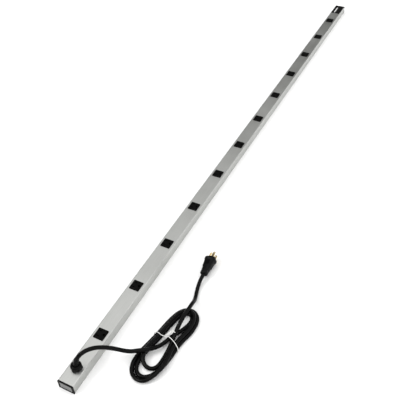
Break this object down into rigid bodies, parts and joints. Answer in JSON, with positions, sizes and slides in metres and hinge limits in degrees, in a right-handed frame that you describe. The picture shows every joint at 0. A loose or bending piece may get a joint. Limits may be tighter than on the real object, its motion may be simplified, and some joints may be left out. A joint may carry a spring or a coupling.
{
  "type": "rack power strip",
  "caption": "Slim metal power strip with a row of grounded outlets along its top, plastic end caps, a cord gland and a tied, folded supply cord that ends in a grounded plug.",
  "frame": {"origin": "centre of the strip's back face, between its two ends, without the cord", "axes": "+X along the strip, away from the end where the cord comes out; +Z out of the outlet faces; the folded cord lies on the -Y side"},
  "size_m": [1.8288, 0.1877, 0.0709],
  "materials": {
    "housing_metal": "satin anodised",
    "back_metal": "zinc plated",
    "panel_metal": "matte",
    "black_plastic": "fine moulded texture",
    "gland_plastic": "satin moulded",
    "label_black": "satin printed film",
    "cord_jacket": "satin",
    "contact_brass": "bright",
    "screw_steel": "zinc plated",
    "liner_board": "pressed insulating board",
    "wire_black": "gloss",
    "wire_white": "gloss",
    "wire_green": "gloss",
    "tie_white": "matte"
  },
  "bodies": {
    "root": {"housing_channel": "housing_metal", "back_plate": "back_metal", "insulating_liner": "liner_board", "near_cap": "black_plastic", "near_panel": "panel_metal", "far_cap": "black_plastic", "far_panel": "panel_metal", "outlet_01": "black_plastic", "outlet_02": "black_plastic", "outlet_03": "black_plastic", "outlet_04": "black_plastic", "outlet_05": "black_plastic", "outlet_06": "black_plastic", "outlet_07": "black_plastic", "outlet_08": "black_plastic", "outlet_09": "black_plastic", "outlet_10": "black_plastic", "outlet_11": "black_plastic", "outlet_12": "black_plastic", "line_busbar": "contact_brass", "neutral_busbar": "contact_brass", "ground_busbar": "contact_brass", "line_wire": "wire_black", "neutral_wire": "wire_white", "ground_wire": "wire_green", "bonding_screw": "screw_steel", "nameplate": "label_black", "gland_body": "gland_plastic", "gland_dome_nut": "gland_plastic", "gland_locknut": "gland_plastic", "gland_boot": "cord_jacket", "cord_lead": "cord_jacket", "cord_hank": "cord_jacket", "cord_tail": "cord_jacket", "plug_body": "cord_jacket", "plug_line_blade": "contact_brass", "plug_neutral_blade": "contact_brass", "plug_ground_pin": "contact_brass", "twist_tie": "tie_white"}
  },
  "joints": []
}
